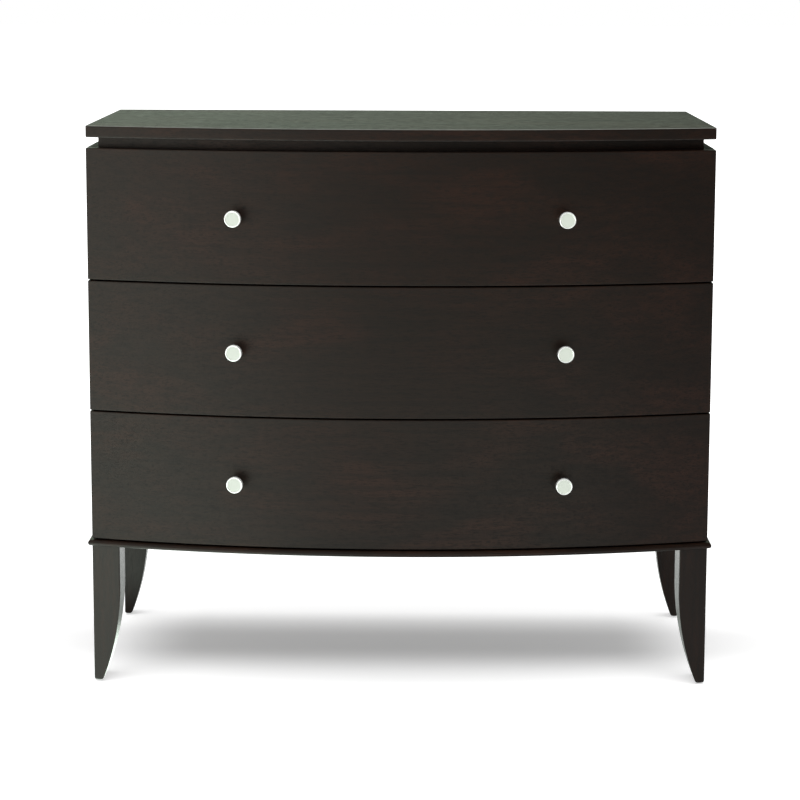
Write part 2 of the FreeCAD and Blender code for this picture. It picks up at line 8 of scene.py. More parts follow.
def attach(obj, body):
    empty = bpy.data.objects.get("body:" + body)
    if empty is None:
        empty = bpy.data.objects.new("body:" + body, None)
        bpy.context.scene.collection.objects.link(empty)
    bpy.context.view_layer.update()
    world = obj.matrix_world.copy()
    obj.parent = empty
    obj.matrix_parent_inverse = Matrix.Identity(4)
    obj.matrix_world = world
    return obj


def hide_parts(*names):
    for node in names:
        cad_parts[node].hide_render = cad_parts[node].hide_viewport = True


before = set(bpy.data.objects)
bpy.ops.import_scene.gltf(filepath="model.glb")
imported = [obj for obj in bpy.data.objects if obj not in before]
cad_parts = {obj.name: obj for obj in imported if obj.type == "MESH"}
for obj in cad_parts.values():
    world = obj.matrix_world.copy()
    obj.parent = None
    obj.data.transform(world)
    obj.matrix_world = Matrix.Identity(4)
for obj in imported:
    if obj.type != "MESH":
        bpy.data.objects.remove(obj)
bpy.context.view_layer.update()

# Legs. Four sabre legs sawn from solid wood and stained nearly black: straight outside, hollowed
# inside to a foot about a third as wide as the top. The front pair takes the bow of the drawer
# fronts. Each is tenoned up through the base board.
LEG_TOP = 0.2295
LEG_FOOT = 0.002
LEG_KNEE = LEG_FOOT + 0.165
LEG_OUTSIDE = 0.5015
LEG_ROUND = 0.0015
FOOT_ROUND = 0.004
LEG_ROWS = 40
TENON = {"width": 0.016, "length": 0.022, "shoulder": 0.006}
FRONT_LEG = {"top": 0.046, "foot": 0.014, "rear": -0.12173, "tenon": 0.024}
BACK_LEG = {"top": 0.043, "foot": 0.012, "front": 0.22126, "rear": 0.25325, "tenon": 0.016}
BOW_RADIUS = 1.883
BOW_CENTRE = 1.638255
ARC_STEPS = 4
EDGE_SHARE = 0.25
SHARP = math.radians(20)

ESPRESSO = {
    "Ground": (0.0112, 0.0057, 0.0035),
    "Pores": (0.0050, 0.0034, 0.0027),
    "Blotch": (0.0215, 0.0088, 0.0052),
    "Rubbed": (0.060, 0.034, 0.021),
}
LACQUER_ROUGHNESS = 0.22
GRAIN_BLOTCHES = {"along": 4.5, "across": 13.0, "detail": 2.0, "turbulence": 0.5}
GRAIN_FIGURE = {"along": 5.0, "across": 150.0, "detail": 4.0, "turbulence": 0.35}
GRAIN_FLECKS = {"along": 75.0, "across": 620.0, "detail": 2.0}
GRAIN_PORES = {"along": 260.0, "across": 2600.0, "detail": 1.0}
BLOTCH_LIMITS = (0.38, 0.72)
FIGURE_LIMITS = (0.35, 0.68)
FLECK_LIMITS = (0.50, 0.66)
PORE_LIMITS = (0.57, 0.68)
PORE_DARKNESS = 0.7
PORE_ROUGHNESS = 0.12
PORE_DEPTH = -0.5
FLECK_DEPTH = -0.5
FIGURE_DEPTH = 0.35
GRAIN_BUMP = 0.35
RUB_SAMPLES = 4
RUB_TURN = (0.99, 0.80)
RUB_PATCHES = {"scale": 38.0, "detail": 3.0}
RUB_LIMITS = (0.34, 0.66)
FIBRES = {
    "across": (0.0, 0.0, 0.0),
    "upright": (0.0, math.pi / 2, 0.0),
    "deep": (0.0, 0.0, math.pi / 2),
}


class Nodes:
    """A node tree being wired: adds nodes by type and feeds their sockets by name or number."""

    def __init__(self, tree):
        self.tree = tree

    def add(self, kind, settings=None, **feeds):
        node = self.tree.nodes.new(kind)
        for key, value in (settings or {}).items():
            setattr(node, key, value)
        for key, value in feeds.items():
            self.feed(node, key.replace("_", " "), value)
        return node

    def feed(self, node, socket, value):
        target = node.inputs[socket]
        if isinstance(value, bpy.types.NodeSocket):
            self.tree.links.new(value, target)
        else:
            target.default_value = value

    def maths(self, operation, first, second=0.0):
        node = self.add("ShaderNodeMath", {"operation": operation})
        self.feed(node, 0, first)
        self.feed(node, 1, second)
        return node.outputs[0]

    def plus(self, first, second):
        return self.maths("ADD", first, second)

    def minus(self, first, second):
        return self.maths("SUBTRACT", first, second)

    def times(self, first, second):
        return self.maths("MULTIPLY", first, second)

    def spread(self, value, low, high, to_low=0.0, to_high=1.0):
        """A value moved from one range to another and held inside it."""
        node = self.add("ShaderNodeMapRange", {"interpolation_type": "SMOOTHSTEP"})
        for socket, number in enumerate((value, low, high, to_low, to_high)):
            self.feed(node, socket, number)
        return node.outputs[0]

    def blend(self, share, first, second):
        """Two colours mixed, by number: the node has sockets of the same name for each type."""
        node = self.add("ShaderNodeMix", {"data_type": "RGBA"})
        self.feed(node, 0, share)
        self.feed(node, 6, first)
        self.feed(node, 7, second)
        return node.outputs[2]

    def place(self):
        """The place of a point on its piece."""
        return self.add("ShaderNodeTexCoord").outputs["Object"]

    def noise(self, place, scale, detail, turbulence=0.0):
        node = self.add("ShaderNodeTexNoise", Vector=place, Scale=scale, Detail=detail)
        self.feed(node, "Distortion", turbulence)
        return node.outputs["Fac"]

    def relief(self, surface, height, strength, distance):
        """Gives a surface the small bumps of a height."""
        bump = self.add("ShaderNodeBump", Strength=strength, Distance=distance, Height=height)
        self.feed(surface, "Normal", bump.outputs["Normal"])


def node_group(name, tree, inputs, outputs):
    """A node group with named inputs and outputs, given as name, kind of socket and value."""
    group = bpy.data.node_groups.new(name, tree)
    for label, kind, value in inputs:
        socket = group.interface.new_socket(label, in_out="INPUT", socket_type="NodeSocket" + kind)
        if value is not None:
            socket.default_value = value
    for label, kind in outputs:
        group.interface.new_socket(label, in_out="OUTPUT", socket_type="NodeSocket" + kind)
    nodes = Nodes(group)
    return group, nodes, nodes.add("NodeGroupInput").outputs, nodes.add("NodeGroupOutput")


def new_material(name):
    """An empty material, its nodes for wiring, and the surface that they end in."""
    material = bpy.data.materials.new(name)
    material.use_nodes = True
    return material, Nodes(material.node_tree), material.node_tree.nodes["Principled BSDF"]


def opaque(colour):
    return (*colour, 1.0)


def wood_grain_group():
    """Grain whose fibres run along X: long figure, short dark flecks, fine pores and blotches."""
    group, nodes, given, out = node_group(
        "wood_grain",
        "ShaderNodeTree",
        [
            ("Vector", "Vector", None),
            ("Ground", "Color", None),
            ("Pores", "Color", None),
            ("Blotch", "Color", None),
            ("Fleck share", "Float", 0.5),
            ("Figure share", "Float", 0.5),
            ("Plain roughness", "Float", 0.4),
            ("Streaks", "Float", 0.1),
        ],
        [("Colour", "Color"), ("Roughness", "Float"), ("Height", "Float")],
    )

    def pattern(along, across, **noise):
        stretched = nodes.add("ShaderNodeVectorMath", {"operation": "MULTIPLY"})
        nodes.feed(stretched, 0, given["Vector"])
        nodes.feed(stretched, 1, (along, across, across))
        return nodes.noise(stretched.outputs[0], 1.0, **noise)

    figure = pattern(**GRAIN_FIGURE)
    blotches = nodes.spread(pattern(**GRAIN_BLOTCHES), *BLOTCH_LIMITS)
    flecks = nodes.spread(pattern(**GRAIN_FLECKS), *FLECK_LIMITS)
    pores = nodes.spread(pattern(**GRAIN_PORES), *PORE_LIMITS)
    figured = nodes.times(nodes.spread(figure, *FIGURE_LIMITS), given["Figure share"])
    flecked = nodes.times(flecks, given["Fleck share"])
    colour = nodes.blend(blotches, given["Ground"], given["Blotch"])
    for share in (figured, flecked, nodes.times(pores, PORE_DARKNESS)):
        colour = nodes.blend(share, colour, given["Pores"])
    nodes.feed(out, "Colour", colour)
    streaks = nodes.plus(nodes.minus(figure, 0.5), flecks)
    rough = nodes.plus(nodes.times(streaks, given["Streaks"]), given["Plain roughness"])
    nodes.feed(out, "Roughness", nodes.plus(rough, nodes.times(pores, PORE_ROUGHNESS)))
    height = nodes.plus(nodes.times(flecks, FLECK_DEPTH), nodes.times(pores, PORE_DEPTH))
    nodes.feed(out, "Height", nodes.plus(height, nodes.times(figure, FIGURE_DEPTH)))
    return group


def rubbed_edge_group():
    """A mask that is 1 where an edge has been handled, broken up so that the wear looks worn in."""
    group, nodes, given, out = node_group(
        "rubbed_edge",
        "ShaderNodeTree",
        [("Vector", "Vector", None), ("Width", "Float", 0.0015), ("Strength", "Float", 0.5)],
        [("Mask", "Float")],
    )
    rounded = nodes.add("ShaderNodeBevel", {"samples": RUB_SAMPLES}, Radius=given["Width"])
    plain = nodes.add("ShaderNodeNewGeometry")
    facing = nodes.add("ShaderNodeVectorMath", {"operation": "DOT_PRODUCT"})
    nodes.feed(facing, 0, rounded.outputs["Normal"])
    nodes.feed(facing, 1, plain.outputs["True Normal"])
    turned = nodes.spread(facing.outputs["Value"], *RUB_TURN)
    broken = nodes.spread(nodes.noise(given["Vector"], **RUB_PATCHES), *RUB_LIMITS)
    nodes.feed(out, "Mask", nodes.times(nodes.times(turned, broken), given["Strength"]))
    return group


WOOD_GRAIN = wood_grain_group()
RUBBED_EDGE = rubbed_edge_group()


def wood(
    name, fibres, colours, *, roughness, shine, flecks, figure, wear,
    lacquer=0.0, shift=(0.0, 0.0, 0.0), streaks=0.1, relief=0.0002,
):
    """A wood with its fibres across, upright or front to back, and a finish on it."""
    material, nodes, surface = new_material(name)
    place = nodes.place()
    turned = nodes.add("ShaderNodeMapping", Vector=place, Location=shift, Rotation=FIBRES[fibres])
    grain = nodes.add("ShaderNodeGroup", {"node_tree": WOOD_GRAIN}, Vector=turned.outputs[0])
    for label in ("Ground", "Pores", "Blotch"):
        nodes.feed(grain, label, opaque(colours[label]))
    nodes.feed(grain, "Fleck share", flecks)
    nodes.feed(grain, "Figure share", figure)
    nodes.feed(grain, "Plain roughness", roughness)
    nodes.feed(grain, "Streaks", streaks)
    edge = nodes.add("ShaderNodeGroup", {"node_tree": RUBBED_EDGE}, Vector=place, Strength=wear)
    worn = nodes.blend(edge.outputs["Mask"], grain.outputs["Colour"], opaque(colours["Rubbed"]))
    nodes.feed(surface, "Base Color", worn)
    nodes.feed(surface, "Roughness", grain.outputs["Roughness"])
    surface.inputs["Specular IOR Level"].default_value = shine
    surface.inputs["Coat Weight"].default_value = lacquer
    surface.inputs["Coat Roughness"].default_value = LACQUER_ROUGHNESS
    nodes.relief(surface, grain.outputs["Height"], GRAIN_BUMP, relief)
    return material


def espresso(name, fibres, *, roughness=0.36, shine=0.155, wear=0.35, **more):
    """The dark, semi-gloss stain that all outside wood has."""
    return wood(
        name, fibres, ESPRESSO,
        roughness=roughness, shine=shine, flecks=0.75, figure=0.55, wear=wear, **more,
    )


def dress(material, slot, *names):
    """Gives pieces of the pack their finish, and leaves their shape alone."""
    for name in names:
        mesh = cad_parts[name].data
        mesh.materials.clear()
        mesh.materials.append(material)


def bow(x, radius=BOW_RADIUS):
    """How far forward a bowed face stands at x."""
    return BOW_CENTRE - math.sqrt(radius**2 - x**2)


def corner(point, before, after, radius):
    """One corner of an outline, as points that each carry the way the outline faces there."""
    if radius == 0 or before.length == 0 or after.length == 0:
        return [(point, (before + after) / (1 + before.dot(after)))]
    centre = point - (before + after) * (radius / (1 + before.dot(after)))
    start = math.atan2(before.y, before.x)
    turn = math.remainder(math.atan2(after.y, after.x) - start, 2 * math.pi)
    facings = [start + turn * step / ARC_STEPS for step in range(ARC_STEPS + 1)]
    facings = [Vector((math.cos(angle), math.sin(angle))) for angle in facings]
    return [(centre + facing * radius, facing) for facing in facings]


def beside(edge, inner, radius):
    """A point of a face close to its edge, which keeps the face's shading flat up to there."""
    gap = inner[0] - edge[0]
    return (edge[0] + gap * min(EDGE_SHARE, radius / gap.length), edge[1])


def outline(faces, radius):
    """A closed outline from faces in turn, each a list of points with the ways they face."""
    corners = []
    for face, following in zip(faces, faces[1:] + faces[:1]):
        corners.append(corner(face[-1][0], face[-1][1], following[0][1], radius))
    points = []
    for last, face, turn_off in zip(corners[-1:] + corners[:-1], faces, corners):
        between = face[1:-1]
        if radius:
            run = [last[-1], *between, turn_off[0]]
            start, end = beside(run[0], run[1], radius), beside(run[-1], run[-2], radius)
            between = [start, *between, end]
        points += between + turn_off
    return points


def straight(*ends, facing):
    return [(Vector(end), Vector(facing)) for end in ends]


def ring(points, inset, height):
    """The outline drawn in by an inset, as one level ring."""
    return [(*(point - facing * inset), height) for point, facing in points]


def cap(shell, row):
    """Closes a ring with a strip of faces, from its first and last points inwards."""
    faces = []
    for low in range((len(row) - 1) // 2):
        high = len(row) - 1 - low
        corners = (row[low], row[low + 1], row[high - 1], row[high])
        faces.append(shell.faces.new(dict.fromkeys(corners)))
    return faces


def soften(shell, angle):
    """Shades a mesh smooth, apart from edges that turn by more than an angle."""
    bmesh.ops.recalc_face_normals(shell, faces=shell.faces)
    for face in shell.faces:
        face.smooth = True
    for edge in shell.edges:
        edge.smooth = edge.calc_face_angle(0.0) < angle


def skin(name, rings, material, slot, body, *replaced):
    """A closed body through level rings, from low to high, with flat ends."""
    shell = bmesh.new()
    rows = [[shell.verts.new(point) for point in level] for level in rings]
    for low, high in zip(rows, rows[1:]):
        for one, other in zip(range(len(low)), [*range(1, len(low)), 0]):
            shell.faces.new((low[one], low[other], high[other], high[one]))
    ends = cap(shell, rows[0]) + cap(shell, rows[-1])
    soften(shell, SHARP)
    for end in ends:
        for edge in end.edges:
            edge.smooth = False
    return placed(name, shell, material, slot, body, *replaced)


def placed(name, shell, material, slot, body, *replaced):
    """The finished mesh as a piece that rides on a body and stands for pieces of the pack."""
    mesh = bpy.data.meshes.new(name)
    shell.to_mesh(mesh)
    shell.free()
    mesh.materials.append(material)
    return fitted(in_scene(name, mesh), slot, body, *replaced)


def in_scene(name, data):
    """A mesh, light or camera as an object of the scene."""
    thing = bpy.data.objects.new(name, data)
    bpy.context.scene.collection.objects.link(thing)
    return thing


def fitted(piece, slot, body, *replaced):
    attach(piece, body)
    if replaced:
        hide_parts(*replaced)
    return piece


def leg_inside(height, top, foot):
    """How far from the middle of the chest a leg's inner edge is at a height."""
    taper = top - foot
    knee = LEG_KNEE - LEG_FOOT
    drop = max(LEG_KNEE - height, 0.0)
    hollow = (taper**2 + knee**2) / (2 * taper)
    return LEG_OUTSIDE - top + hollow - math.sqrt(hollow**2 - drop**2)


def leg_outline(way, inner, outer, fronts, rear, radius):
    """The plan of a leg at one height, right or left."""
    slope = Vector((inner, bow(inner) - BOW_CENTRE)).normalized()
    front_way = slope if fronts[0] != fronts[1] else Vector((0, -1))
    faces = [
        straight((inner, fronts[0]), (outer, fronts[1]), facing=front_way),
        straight((outer, fronts[1]), (outer, rear), facing=(1, 0)),
        straight((outer, rear), (inner, rear), facing=(0, 1)),
        straight((inner, rear), (inner, fronts[0]), facing=(-1, 0)),
    ]
    return [(Vector((p.x * way, p.y)), Vector((n.x * way, n.y))) for p, n in outline(faces, radius)]


def sabre_leg(name, way, leg):
    """One leg as rings of its plan, from its rounded foot to the top of its tenon."""

    def level(height, inset=0):
        inner = leg_inside(height, leg["top"], leg["foot"])
        fronts = [leg.get("front", bow(x)) for x in (inner, LEG_OUTSIDE)]
        plan = leg_outline(way, inner, LEG_OUTSIDE, fronts, leg["rear"], LEG_ROUND + inset)
        return ring(plan, inset, height)

    rings = []
    for step in range(ARC_STEPS + 1):
        angle = math.pi / 2 * step / ARC_STEPS
        height = LEG_FOOT + FOOT_ROUND * (1 - math.cos(angle))
        rings.append(level(height, FOOT_ROUND * (1 - math.sin(angle))))
    start = LEG_FOOT + FOOT_ROUND
    for step in range(1, LEG_ROWS + 1):
        rings.append(level(start + (LEG_TOP - start) * step / LEG_ROWS))
    inner = LEG_OUTSIDE - leg["top"] + TENON["shoulder"]
    rear = leg["rear"] - TENON["shoulder"]
    fronts = [rear - leg["tenon"]] * 2
    tenon = leg_outline(way, inner, inner + TENON["width"], fronts, rear, LEG_ROUND)
    rings += [ring(tenon, 0, LEG_TOP), ring(tenon, 0, LEG_TOP + TENON["length"])]
    skin(name + "_sabre", rings, espresso_upright, "espresso_wood", "case", name)


espresso_upright = espresso("espresso_upright", "upright", roughness=0.20, wear=0.45)
for side, way in (("left", -1), ("right", 1)):
    sabre_leg(f"front_{side}_leg", way, FRONT_LEG)
    sabre_leg(f"back_{side}_leg", way, BACK_LEG)

# Glides. Small nylon discs pressed into the feet; only their rims show as a thin line at the floor.
# The pack's own discs are right, and get a worn matt plastic.
NYLON = (0.06, 0.06, 0.058)
NYLON_SCUFFED = (0.14, 0.135, 0.13)
SCUFFS = {"scale": 900.0, "detail": 3.0}
SCUFF_LIMITS = (0.45, 0.7)
SCUFF_ROUGHNESS = {"low": 0.3, "high": 0.7, "to_low": 0.45, "to_high": 0.7}
SCUFF_BUMP = {"strength": 0.2, "distance": 0.0001}


def scuffed_nylon():
    material, nodes, surface = new_material("scuffed_nylon")
    scuffs = nodes.noise(nodes.place(), **SCUFFS)
    worn = nodes.spread(scuffs, *SCUFF_LIMITS)
    nodes.feed(surface, "Base Color", nodes.blend(worn, opaque(NYLON), opaque(NYLON_SCUFFED)))
    nodes.feed(surface, "Roughness", nodes.spread(scuffs, **SCUFF_ROUGHNESS))
    nodes.relief(surface, scuffs, **SCUFF_BUMP)
    return material


dress(scuffed_nylon(), "glide_nylon", "foot_glides")

# Base board. One thin board under the whole case, with a half-round nose worked on its front and
# ends: the bead below the bottom drawer. Its back edge is left square.
BASE_LOW = 0.2295
BASE_HIGH = 0.239
BASE_HALF = 0.5079
BASE_RADIUS = 1.8894
NOSE_RADIUS = 0.0046
NOSE_STEPS = 14
REAR = 0.253255
BOW_STEPS = 72


def bow_face(radius, half, outward=1):
    """Points along a bowed face, from left to right, or back again where it faces the rear."""
    face = []
    for step in range(BOW_STEPS + 1):
        x = half * (2 * step / BOW_STEPS - 1)
        facing = Vector((x, bow(x, radius) - BOW_CENTRE)) / radius
        face.append((Vector((x, bow(x, radius))), facing * outward))
    return face[::outward]


def bow_plan(radius, half, rear, ease, rear_facing=(0, 1)):
    """The plan of a board with a bowed front, straight ends and a straight back."""
    front = bow_face(radius, half)
    faces = [
        front,
        straight(front[-1][0], (half, rear), facing=(1, 0)),
        straight((half, rear), (-half, rear), facing=rear_facing),
        straight((-half, rear), front[0][0], facing=(-1, 0)),
    ]
    return outline(faces, ease)


def nose_rows(low, high, radius):
    """Rows of inset and height round a half-round nose."""
    middle = (low + high) / 2
    rows = [(radius, low)]
    for step in range(NOSE_STEPS + 1):
        angle = math.pi * (step / NOSE_STEPS - 0.5)
        rows.append((radius * (1 - math.cos(angle)), middle + radius * math.sin(angle)))
    return rows + [(radius, high)]


espresso_across = espresso("espresso_across", "across")
base_plan = bow_plan(BASE_RADIUS, BASE_HALF, REAR, 0, rear_facing=(0, 0))
base_rings = [ring(base_plan, *row) for row in nose_rows(BASE_LOW, BASE_HIGH, NOSE_RADIUS)]
skin("base_board_nosed", base_rings, espresso_across, "espresso_wood", "case", "base_board")

# Case. Stained side panels with the rails and panels housed in dadoes between them; the drawer
# fronts cover all its front edges. Its joints are cut in the pack's pieces, which stay as they are.
espresso_case = espresso(
    "espresso_case", "upright", roughness=0.45, shine=0.03, wear=0.25, shift=(0.3, 0.1, 0.2)
)
espresso_panels = espresso("espresso_panels", "across", wear=0.25, shift=(0.7, 0.4, 0.1))
dress(espresso_case, "espresso_wood", "left_side_panel", "right_side_panel")
dress(
    espresso_panels, "espresso_wood",
    "case_top_panel", "case_bottom_panel", "upper_divider_rail", "lower_divider_rail",
)

# Back. A sheet of plywood, stained to match and left matt, let into the rabbets of the sides and
# held by pan-head screws into the sides and the case's top and bottom.
BACK_PLY = {
    "Ground": (0.024, 0.0165, 0.0125),
    "Pores": (0.013, 0.0095, 0.0078),
    "Blotch": (0.036, 0.021, 0.015),
    "Rubbed": ESPRESSO["Rubbed"],
}
BACK_HALF = 0.4917
BACK_LOW = 0.239
BACK_HIGH = 0.878
BACK_FRONT = 0.246855
BACK_SCREWS = {"aside": 0.4855, "low": 0.2485, "high": 0.8685, "up": 5, "across": 8}
BACK_HEAD = {
    "Head radius": 0.0036, "Head height": 0.0011, "Shank radius": 0.0017, "Shank length": 0.006,
}
ZINC = (0.40, 0.41, 0.43)
ZINC_DULL = (0.34, 0.35, 0.365)
ZINC_STREAKS = {"scale": 1.0, "detail": 2.0}
ZINC_BRUSHED = (900.0, 14.0, 900.0)
ZINC_CLOUDS = {"scale": 70.0, "detail": 3.0}
ZINC_CLOUD_LIMITS = (0.3, 0.8)
ZINC_ROUGHNESS = {"low": 0.3, "high": 0.7, "to_low": 0.30, "to_high": 0.46}
ZINC_BUMP = {"strength": 0.15, "distance": 0.0001}
STEEL_SHARP = math.radians(35)
HEAD_ROD = {"narrowing": 0.38, "sides": 24, "rows": 7}
SHANK_ROD = {"narrowing": 0.2, "sides": 12, "rows": 4}
ROD_CURVE = 3.0
RECESS_LONG = 1.15
RECESS_WIDE = 0.24
RECESS_DEEP = 1.1
stained_plywood = wood(
    "stained_plywood", "across", BACK_PLY,
    roughness=0.6, shine=0.3, flecks=0.5, figure=0.5, wear=0.2, shift=(0.5, 0.2, 0.6),
)


def plated_zinc():
    """Bright zinc with the cloudy, streaked look of plating, brushed along the channels."""
    material, nodes, surface = new_material("plated_zinc")
    place = nodes.place()
    brushed = nodes.add("ShaderNodeMapping", Vector=place, Scale=ZINC_BRUSHED).outputs[0]
    streaks = nodes.noise(brushed, **ZINC_STREAKS)
    clouds = nodes.spread(nodes.noise(place, **ZINC_CLOUDS), *ZINC_CLOUD_LIMITS)
    nodes.feed(surface, "Base Color", nodes.blend(clouds, opaque(ZINC), opaque(ZINC_DULL)))
    surface.inputs["Metallic"].default_value = 1.0
    nodes.feed(surface, "Roughness", nodes.spread(streaks, **ZINC_ROUGHNESS))
    nodes.relief(surface, streaks, **ZINC_BUMP)
    return material


def screw_tree():
    """Pan-head screws with a cross recess: one at each point, facing the way of the point's aim."""
    group, nodes, given, out = node_group(
        "pan_head_screws",
        "GeometryNodeTree",
        [
            ("Places", "Geometry", None),
            ("Head radius", "Float", 0.004),
            ("Head height", "Float", 0.002),
            ("Shank radius", "Float", 0.002),
            ("Shank length", "Float", 0.01),
            ("Seed", "Int", 7),
            ("Plating", "Material", None),
        ],
        [("Screws", "Geometry")],
    )

    def xyz(z, **others):
        return nodes.add("ShaderNodeCombineXYZ", Z=z, **others).outputs[0]

    def rod(high, radius, narrowing, sides, rows):
        """A round rod along Z that narrows towards its far end."""
        line = nodes.add("GeometryNodeCurvePrimitiveLine", Start=xyz(0.0), End=xyz(high)).outputs[0]
        line = nodes.add("GeometryNodeResampleCurve", Curve=line, Count=rows).outputs[0]
        along = nodes.add("GeometryNodeSplineParameter").outputs["Factor"]
        narrowed = nodes.times(nodes.maths("POWER", along, ROD_CURVE), narrowing)
        disc = nodes.add("GeometryNodeCurvePrimitiveCircle", Resolution=sides, Radius=1.0)
        solid = nodes.add("GeometryNodeCurveToMesh", Curve=line, Profile_Curve=disc.outputs[0])
        nodes.feed(solid, "Scale", nodes.times(radius, nodes.minus(1.0, narrowed)))
        nodes.feed(solid, "Fill Caps", True)
        return solid.outputs[0]

    head = rod(given["Head height"], given["Head radius"], **HEAD_ROD)
    slot_long = nodes.times(given["Head radius"], RECESS_LONG)
    slot_wide = nodes.times(given["Head radius"], RECESS_WIDE)
    slot_deep = nodes.times(given["Head height"], RECESS_DEEP)
    lifted = xyz(given["Head height"])
    cut = nodes.add("GeometryNodeMeshBoolean", {"operation": "DIFFERENCE"}, Mesh_1=head)
    for long, wide in ((slot_long, slot_wide), (slot_wide, slot_long)):
        size = xyz(slot_deep, X=long, Y=wide)
        bar = nodes.add("GeometryNodeMeshCube", Size=size).outputs[0]
        bar = nodes.add("GeometryNodeTransform", Geometry=bar, Translation=lifted).outputs[0]
        nodes.feed(cut, "Mesh 2", bar)
    shank_end = nodes.times(given["Shank length"], -1.0)
    screw = nodes.add("GeometryNodeJoinGeometry")
    nodes.feed(screw, "Geometry", cut.outputs[0])
    nodes.feed(screw, "Geometry", rod(shank_end, given["Shank radius"], **SHANK_ROD))
    aim = nodes.add("GeometryNodeInputNamedAttribute", {"data_type": "FLOAT_VECTOR"}, Name="aim")
    facing = nodes.add("FunctionNodeAlignRotationToVector", {"axis": "Z"}, Vector=aim.outputs[0])
    # The random value's float sockets go by number, because each type's have the same names.
    driven = nodes.add("FunctionNodeRandomValue", {"data_type": "FLOAT"}, Seed=given["Seed"])
    nodes.feed(driven, 3, math.pi)
    driven = nodes.add("FunctionNodeAxisAngleToRotation", Angle=driven.outputs[1])
    nodes.feed(driven, "Axis", (0.0, 0.0, 1.0))
    turned = nodes.add("FunctionNodeRotateRotation", {"rotation_space": "LOCAL"})
    nodes.feed(turned, "Rotation", facing.outputs[0])
    nodes.feed(turned, "Rotate By", driven.outputs[0])
    copies = nodes.add("GeometryNodeInstanceOnPoints", Points=given["Places"])
    nodes.feed(copies, "Instance", screw.outputs[0])
    nodes.feed(copies, "Rotation", turned.outputs[0])
    solid = nodes.add("GeometryNodeRealizeInstances", Geometry=copies.outputs[0]).outputs[0]
    plated = nodes.add("GeometryNodeSetMaterial", Geometry=solid, Material=given["Plating"])
    nodes.feed(out, "Screws", plated.outputs[0])
    return group


def screws(name, seats, sizes, body, *replaced):
    """Zinc-plated screws at seats, each given as a place and the way that its head faces."""
    cloud = bpy.data.meshes.new(name + "_places")
    cloud.from_pydata([place for place, aim in seats], [], [])
    aims = cloud.attributes.new("aim", "FLOAT_VECTOR", "POINT")
    for entry, (place, aim) in zip(aims.data, seats):
        entry.vector = aim
    piece = in_scene(name, cloud)
    modifier = piece.modifiers.new("screws", "NODES")
    modifier.node_group = SCREWS
    for socket in SCREWS.interface.items_tree:
        value = {"Plating": zinc, **sizes}.get(socket.name)
        if value is not None:
            modifier[socket.identifier] = value
    graph = bpy.context.evaluated_depsgraph_get()
    mesh = bpy.data.meshes.new_from_object(piece.evaluated_get(graph))
    piece.modifiers.clear()
    piece.data = mesh
    mesh.materials.clear()
    mesh.materials.append(zinc)
    for face in mesh.polygons:
        face.material_index = 0
        face.use_smooth = True
    mesh.set_sharp_from_angle(angle=STEEL_SHARP)
    fitted(piece, "zinc_steel", body, *replaced)


def evenly(low, high, count):
    """Places from low to high, the same distance apart."""
    return [low + (high - low) * step / (count - 1) for step in range(count)]


SCREWS = screw_tree()
zinc = plated_zinc()
back_rear = REAR - BACK_HEAD["Head height"]
panel = outline(
    [
        straight((-BACK_HALF, BACK_FRONT), (BACK_HALF, BACK_FRONT), facing=(0, -1)),
        straight((BACK_HALF, BACK_FRONT), (BACK_HALF, back_rear), facing=(1, 0)),
        straight((BACK_HALF, back_rear), (-BACK_HALF, back_rear), facing=(0, 1)),
        straight((-BACK_HALF, back_rear), (-BACK_HALF, BACK_FRONT), facing=(-1, 0)),
    ],
    0,
)
panel_rings = [ring(panel, 0, BACK_LOW), ring(panel, 0, BACK_HIGH)]
skin("back_sheet", panel_rings, stained_plywood, "back_plywood", "case", "back_panel")
aside, low, high = BACK_SCREWS["aside"], BACK_SCREWS["low"], BACK_SCREWS["high"]
seats = [(way * aside, z) for z in evenly(low, high, BACK_SCREWS["up"]) for way in (-1, 1)]
for x in evenly(-aside, aside, BACK_SCREWS["across"])[1:-1]:
    seats += [(x, low), (x, high)]
screws("back_screws", [((x, back_rear, z), (0, 1, 0)) for x, z in seats], BACK_HEAD, "case")

# Slides. Telescopic slides of folded, zinc-plated steel, three nested channels on each side of each
# drawer: one on the case, one that runs between, one on the drawer. Screws through the webs of the
# outer two hold them; the pack's channels stay as they are.
DRAWERS = ("bottom", "middle", "top")
SLIDE_LOW = 0.3445
FRONT_PITCH = 0.213
CASE_WEB = 0.4813
DRAWER_WEB = 0.4710
SLIDE_SCREWS = (-0.125, 0.020, 0.170)
SLIDE_HEAD = {
    "Head radius": 0.0034, "Head height": 0.0014, "Shank radius": 0.0018, "Shank length": 0.010,
}
for place, drawer in enumerate(DRAWERS):
    for channel in ("case", "middle", "drawer"):
        dress(zinc, "zinc_steel", f"{drawer}_slide_{channel}_channels")
    level = SLIDE_LOW + FRONT_PITCH * place
    webs = (("case", "case", CASE_WEB, -1), (f"{drawer}_drawer", "drawer", DRAWER_WEB, 1))
    for body, owner, web, facing in webs:
        seats = [
            ((way * web, y, level), (way * facing, 0, 0))
            for y in SLIDE_SCREWS for way in (-1, 1)
        ]
        screws(f"{drawer}_slide_{owner}_screws", seats, SLIDE_HEAD, body)

